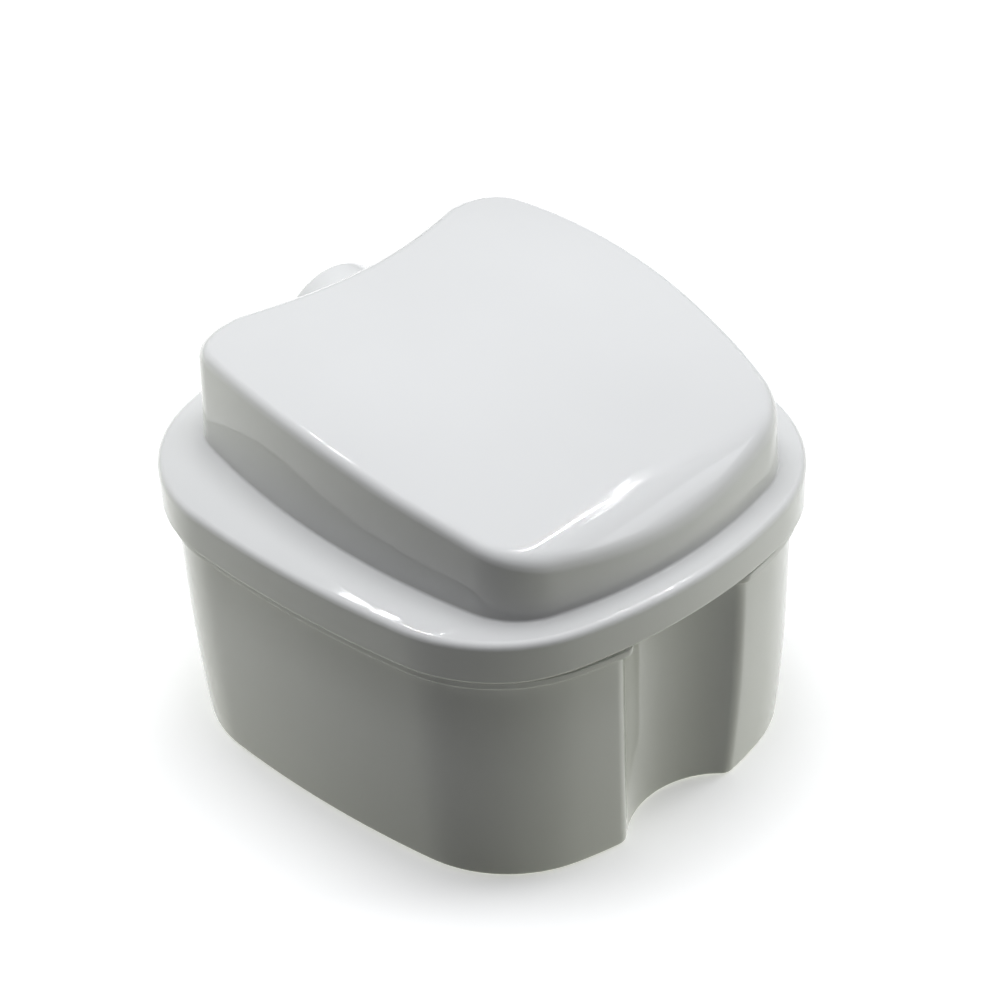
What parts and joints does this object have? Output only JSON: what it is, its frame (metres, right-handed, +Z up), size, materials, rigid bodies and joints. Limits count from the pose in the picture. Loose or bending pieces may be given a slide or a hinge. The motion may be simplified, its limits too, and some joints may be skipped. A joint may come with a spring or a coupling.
{
  "type": "denture case",
  "caption": "Denture case: rounded tub with a finger groove, hinged lid with a high dished crown, and a lift-out strainer basket with a swinging bail.",
  "frame": {"origin": "bottom centre of the closed case with its hinge, on the surface it stands on", "axes": "+Z up, +Y towards the hinge, -Y towards the finger groove, +X to the right"},
  "size_m": [0.0838, 0.0932, 0.0647],
  "materials": {
    "case_plastic": "glossy white",
    "basket_plastic": "satin white",
    "pin_steel": "drawn wire"
  },
  "bodies": {
    "case": {"tub": "case_plastic", "hinge_pin": "pin_steel"},
    "cover": {"lid": "case_plastic"},
    "basket": {"strainer_basket": "basket_plastic"},
    "bail": {"basket_bail": "basket_plastic"}
  },
  "joints": [
    {"name": "lid_hinge", "type": "hinge", "parent": "case", "child": "cover", "pos_m": [0, 0.04365, 0.0364], "axis": [-1, 0, 0], "range_deg": [0, 105]},
    {"name": "basket_lift", "type": "slide", "parent": "case", "child": "basket", "axis": [0, 0, 1], "range_m": [0, 0.03667]},
    {"name": "bail_swing", "type": "hinge", "parent": "basket", "child": "bail", "pos_m": [0, -0.00135, 0.0412], "axis": [1, 0, 0], "range_deg": [0, 90]}
  ],
  "couplings": [
    {"joint": "basket_lift", "follows": "lid_hinge", "m_per_rad": 0.02}
  ]
}
